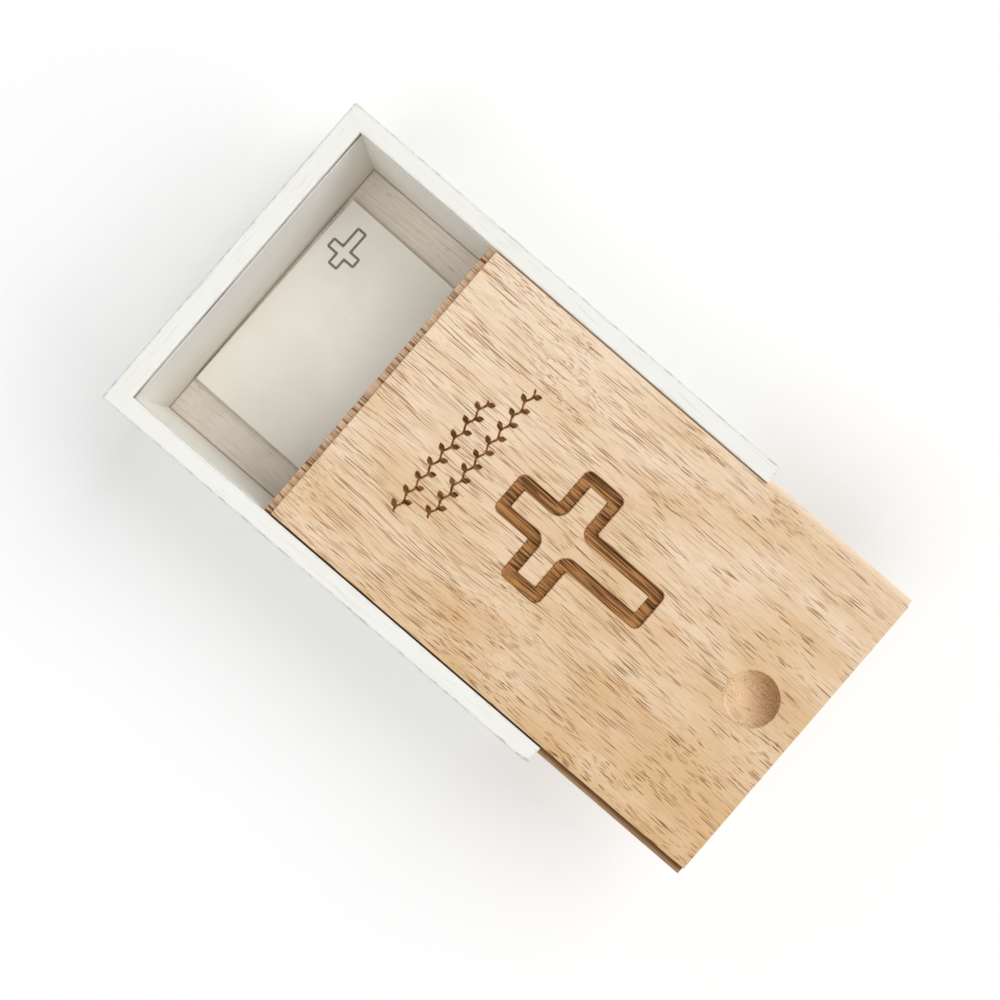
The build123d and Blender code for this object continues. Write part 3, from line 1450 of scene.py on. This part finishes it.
@dataclass
class SlidingLid:
    """The lid: one board, stepped along its sides and inner end to leave a thin tongue.

    It is a closed profile carried along Y. The profile's upper side is a fine grid of heights,
    which holds the eased edges, the cross, the leaf bands and the finger dish.
    """

    fit: LidFit = field(default_factory=LidFit)
    cross: CrossCut = field(default_factory=CrossCut)
    dish: FingerDish = field(default_factory=FingerDish)
    bands: tuple[LeafBand, ...] = (LeafBand(-5.0, -31.0, 18.6), LeafBand(-15.2, -25.0, 32.0))
    band_depth: float = 0.22
    mark_softness: float = 0.24
    ink: float = 1.6
    reach: float = 2.7
    easing: float = 0.4
    tongue_easing: float = 0.2
    fine_step: float = 0.32
    cross_step: float = 0.4
    coarse_step: float = 3.0
    edge_lines: tuple[float, ...] = (0.0, 0.03, 0.11, 0.24, 0.4, 0.52, 0.62)
    least_gap: float = 0.02
    margin: float = 1.0
    wide_margin: float = 2.5
    dish_margin: float = 0.8
    band_reach: float = 3.6
    snap_share: float = 0.46

    def build(self) -> bpy.types.Object:
        """Builds the lid's mesh.

        Returns:
            The lid, with the attributes "char", which is 1 where it is burnt and less beside it,
            "scorch", painted light and shade in a burnt band, from -1 on its side lit
            by the key lamp to 1 on its shaded side, and "burnish", the painted shade and
            darker rim of the finger dish, below 0 where a painted highlight pales it.
        """
        low, high = extent("lid_panel")
        outer_end = low[1]
        inner_end = high[1]
        step_x = high[0] - self.reach
        step_y = inner_end - self.reach
        tread = low[2] + self.fit.tongue_thickness
        x_lines, y_lines = self.lines(outer_end, step_x, step_y)
        x, y = np.meshgrid(x_lines, y_lines)
        x, y, sunk, marks = self.carve(x, y, outer_end)
        in_from_side = step_x - abs(x)
        in_from_end = np.minimum(y - outer_end, step_y - y)
        radius = self.easing * (0.75 + 0.5 * ripple(x + y, 5, 60))
        heights = high[2] - sunk - rounding(in_from_side, radius) - rounding(in_from_end, radius)

        # The tongue past the inner step: three more rings, level with the tread, the last eased
        ease = self.tongue_easing
        tongue_y = np.array([step_y, inner_end - ease, inner_end])
        tongue_drop = np.array([0.0, 0.0, ease])
        count = len(tongue_y)
        width = len(x_lines)
        x = np.concatenate([x, np.tile(x_lines, (count, 1))])
        y = np.concatenate([y, np.tile(tongue_y[:, None], (1, width))])
        heights = np.concatenate([heights, tread - np.tile(tongue_drop[:, None], (1, width))])
        drop = np.concatenate([np.zeros(len(y_lines)), tongue_drop])

        # The tongue along the left side, from the underside up to the step, and its mirror image
        corners = [
            (ease - high[0], low[2]),
            (-high[0], low[2] + ease),
            (-high[0], tread - ease - drop),
            (ease - high[0], tread - drop),
            (-step_x, tread - drop),
        ]
        left = np.concatenate([run(len(drop), *corner) for corner in corners], axis=1)
        right = left[:, ::-1] * (-1.0, 1.0)
        beside = np.broadcast_to(y[:, :1], left.shape[:2])
        columns = (
            (left[..., 0], x, right[..., 0]),
            (beside, y, beside),
            (left[..., 1], heights, right[..., 1]),
        )
        place = np.stack([np.concatenate(column, axis=1) for column in columns], axis=-1)
        padding = ((0, count), (len(corners), len(corners)))
        marks = {name: np.pad(mark, padding) for name, mark in marks.items()}
        return carried("lid_board", place, marks)

    def lines(
        self, outer_end: float, step_x: float, step_y: float
    ) -> tuple[np.ndarray, np.ndarray]:
        """Gives the places of the grid's lines, fine where something is cut and coarse elsewhere.

        Args:
            outer_end: the Y of the outer end.
            step_x: the X of the side steps.
            step_y: the Y of the inner step.

        Returns:
            The lines' places across and along the lid.
        """
        edge = np.array(self.edge_lines)
        cross = self.cross
        cut_x = np.array([cross.stem_half, cross.arm_half])
        cut_x = np.concatenate([cut_x, cut_x - cross.width])
        fine_half = max(abs(band.start_x) for band in self.bands) + self.wide_margin
        across = [
            spaced(-step_x + edge[-1], step_x - edge[-1], self.coarse_step),
            spaced(-fine_half, fine_half, self.fine_step),
            edge - step_x,
            step_x - edge,
            cut_x,
            -cut_x,
        ]
        marks = np.array([cross.head, cross.arm_top, cross.arm_bottom, cross.foot])
        inward = np.array([-1, -1, 1, 1]) * cross.width
        cut_y = outer_end + np.concatenate([marks, marks + inward])
        dish_y = outer_end + self.dish.from_end
        dish_reach = self.dish.diameter / 2 + self.dish_margin
        along = [
            spaced(outer_end + edge[-1], step_y - edge[-1], self.coarse_step),
            spaced(cut_y.min() - self.margin, cut_y.max() + self.margin, self.cross_step),
            spaced(dish_y - dish_reach, dish_y + dish_reach, self.cross_step),
            edge + outer_end,
            step_y - edge,
            cut_y,
        ]
        for band in self.bands:
            first, last = band.middle_y - self.band_reach, band.middle_y + self.band_reach
            along.append(spaced(first, last, self.fine_step))
        return merged(across, self.least_gap), merged(along, self.least_gap)

    def carve(
        self, x: np.ndarray, y: np.ndarray, outer_end: float
    ) -> tuple[np.ndarray, np.ndarray, np.ndarray, dict[str, np.ndarray]]:
        """Sinks the cross, the dish and the leaf bands into the grid.

        Points close to an outline are first moved onto it, so that its edge is crisp.

        Args:
            x: the grid's places across.
            y: the grid's places along.
            outer_end: the Y of the lid's outer end.

        Returns:
            The moved places, the depth sunk and the marks left in the wood, by name.
        """
        outline = self.cross.outline(outer_end, island=False)
        island = self.cross.outline(outer_end, island=True)
        x, y = x.copy(), y.copy()
        for shape in (outline, island, self.dish.outline(outer_end)):
            self.snap(x, y, shape)

        sunk, char, scorch = np.zeros((3, *x.shape))
        near, points = self.around(x, y, outline)
        sunk[near], char[near], scorch[near] = self.cross.cut(points, outline, island)
        bowl, burnish = self.dish.cut(x, y, outer_end)
        sunk = np.maximum(sunk, bowl)
        for band in self.bands:
            near = abs(y - band.middle_y) < self.band_reach
            away = band.distance(x[near], y[near])
            mark = np.clip(0.5 - away / self.mark_softness, 0, 1)
            char[near] = np.maximum(char[near], mark * self.ink)
            sunk[near] = np.maximum(sunk[near], mark * self.band_depth)
        return x, y, sunk, {"char": char, "scorch": scorch, "burnish": burnish}

    def around(
        self, x: np.ndarray, y: np.ndarray, shape: np.ndarray
    ) -> tuple[np.ndarray, np.ndarray]:
        """Finds the grid's points in an outline's rectangle, widened by a margin.

        Args:
            x: the grid's places across.
            y: the grid's places along.
            shape: the outline's corners, a table of XY.

        Returns:
            Which points these are, and a table of their XY.
        """
        low = shape.min(axis=0) - self.margin
        high = shape.max(axis=0) + self.margin
        near = (x > low[0]) & (x < high[0]) & (y > low[1]) & (y < high[1])
        return near, np.stack([x[near], y[near]], axis=1)

    def snap(self, x: np.ndarray, y: np.ndarray, shape: np.ndarray) -> None:
        """Moves the grid's points that lie close to an outline onto it, in place.

        Args:
            x: the grid's places across.
            y: the grid's places along.
            shape: the outline's corners, a table of XY.
        """
        near, points = self.around(x, y, shape)
        distance, foot, _ = nearest(points, shape)
        close = distance < self.snap_share * self.fine_step
        x[near] = np.where(close, foot[:, 0], x[near])
        y[near] = np.where(close, foot[:, 1], y[near])


# The cards


@dataclass
class PrayerCards:
    """The stack of cards: thin sheets, each turned a little less than the one above.

    A card is a closed slab on a grid, whose height rises a little towards two of its corners. All
    share one bend, so that they lie on each other.
    """

    count: int = 6
    width: float = 88.9
    length: float = 127.0
    thickness: float = 0.4
    gap: float = 0.02
    middle_x: float = -0.25
    middle_y: float = 22.3
    top_turn: float = -0.75
    fan: float = 0.12
    bend: float = 0.35
    steps: int = 24

    def build(self) -> None:
        """Builds and dresses each card."""
        floor = extent("floor_panel")[1][2]
        top = self.count - 1
        for index in range(self.count):
            turn = math.radians(self.top_turn + self.fan * (top - index))
            paper = CardPaper(self.middle_x, self.middle_y, turn).material()
            piece = self.card(f"card_{index + 1}", floor + index * self.thickness, turn)
            dress(piece, paper, "card_stack", f"prayer_card_{index + 1}")

    def card(self, name: str, bottom: float, turn: float) -> bpy.types.Object:
        """Makes one card.

        Its rings run along its length, each down the upper side and back along the lower one. The
        rise is the bend times the square of the share of the way from the middle to the two
        corners that curl.

        Args:
            name: the piece's name.
            bottom: the height of its underside where it lies flat.
            turn: how far it is turned, in radians.

        Returns:
            The card.
        """
        shares = np.linspace(-0.5, 0.5, self.steps)
        u = np.concatenate([shares, shares[::-1]])[None, :] * self.width
        v = np.broadcast_to(shares[:, None] * self.length, (self.steps, 2 * self.steps))
        u = np.broadcast_to(u, v.shape)
        share = np.clip(u / self.width + v / self.length, 0, None)
        upper = np.repeat([self.thickness - self.gap, 0.0], self.steps)[None, :]
        z = bottom + upper + self.bend * share**2
        x = self.middle_x + u * math.cos(turn) - v * math.sin(turn)
        y = self.middle_y + u * math.sin(turn) + v * math.cos(turn)
        return carried(name, np.stack([x, y, z], axis=-1))


# The studio


@dataclass
class Lamp:
    """A far lamp with soft edges, given by the light that it throws on level ground."""

    name: str
    ground_light: float
    elevation: float
    softness: float
    towards: tuple[float, float] = (1.0, 0.0)

    def build(self) -> None:
        """Hangs the lamp."""
        data = bpy.data.lights.new(self.name, "SUN")
        data.energy = self.ground_light * math.pi / math.sin(self.elevation)
        data.angle = self.softness
        lamp = bpy.data.objects.new(self.name, data)
        azimuth = math.atan2(self.towards[1], self.towards[0])
        lamp.rotation_euler = (0.0, math.pi / 2 - self.elevation, azimuth)
        bpy.context.scene.collection.objects.link(lamp)


@dataclass
class Studio:
    """A plain pale floor, three soft lamps, even sky, and the camera."""

    floor_half: float = 3000.0
    floor_gap: float = 0.05
    white: Colour = colour(255, 255, 255)
    floor_white: Colour = (0.99, 0.99, 0.99, 1.0)
    sky: float = 0.40
    lamps: tuple[Lamp, ...] = (
        Lamp("key_lamp", 0.26, math.radians(46), math.radians(48), (0.93, -0.37)),
        Lamp("front_lamp", 0.11, math.radians(35), math.radians(40), (0.35, -0.94)),
        Lamp("fill_lamp", 0.24, math.radians(60), math.radians(44), (-1.0, 0.0)),
    )
    camera_place: tuple[float, float, float] = (-4.35, -29.93, 596.25)
    camera_turn: float = math.radians(-49.28)
    focal_length: float = 56.58
    sensor: float = 36.0

    def build(self) -> None:
        """Builds the floor, the light and the camera."""
        self.floor()
        self.light()
        self.camera()
        bpy.context.scene.view_settings.view_transform = "Standard"

    def floor(self) -> None:
        """Lays the floor just under the box."""
        half = self.floor_half
        corners = np.array([[-half, -half, 0], [half, -half, 0], [half, half, 0], [-half, half, 0]])
        mesh = bpy.data.meshes.new("studio_floor")
        corners = (corners - [0, 0, self.floor_gap]) * METRES
        mesh.from_pydata(corners.tolist(), [], [[0, 1, 2, 3]])
        floor = bpy.data.objects.new("studio_floor", mesh)
        bpy.context.scene.collection.objects.link(floor)
        made, graph = new_material("floor_paper")
        surface(graph, self.floor_white, 1.0, 0.0)
        mesh.materials.append(made)

    def light(self) -> None:
        """Sets the lamps and the sky, which is white to the camera and dimmer to the object."""
        world = bpy.data.worlds.new("studio_sky")
        world.use_nodes = True
        bpy.context.scene.world = world
        graph = Graph(world.node_tree)
        path = graph.node("ShaderNodeLightPath").outputs
        kinds = ("Camera", "Glossy", "Transmission")
        rays = [Value(graph, path[f"Is {kind} Ray"]) for kind in kinds]
        seen = graph.math("MINIMUM", rays[0] + rays[1] + rays[2], 1.0)
        dim, white = (
            graph.node("ShaderNodeBackground", None, {"Color": self.white, "Strength": strength})
            for strength in (self.sky, 1.0)
        )
        both = {"Fac": seen, "Shader": dim.outputs[0], "Shader_001": white.outputs[0]}
        mixed = graph.node("ShaderNodeMixShader", None, both)
        graph.node("ShaderNodeOutputWorld", None, {"Surface": mixed.outputs[0]})
        for lamp in self.lamps:
            lamp.build()

    def camera(self) -> None:
        """Places the camera, which looks straight down."""
        data = bpy.data.cameras.new("studio_camera")
        data.lens = self.focal_length
        data.sensor_width = self.sensor
        camera = bpy.data.objects.new("studio_camera", data)
        camera.location = [place * METRES for place in self.camera_place]
        camera.rotation_euler = (0.0, 0.0, self.camera_turn)
        bpy.context.scene.collection.objects.link(camera)
        bpy.context.scene.camera = camera


def main() -> None:
    """Builds the prayer box in its studio."""
    logging.basicConfig(level=logging.INFO, format="%(name)s: %(message)s")
    PaintedBox().build()
    lid = SlidingLid()
    dress(lid.build(), LidWood().material(), "lid", "lid_panel")
    PrayerCards().build()
    Studio().build()


if __name__ == "__main__":
    main()
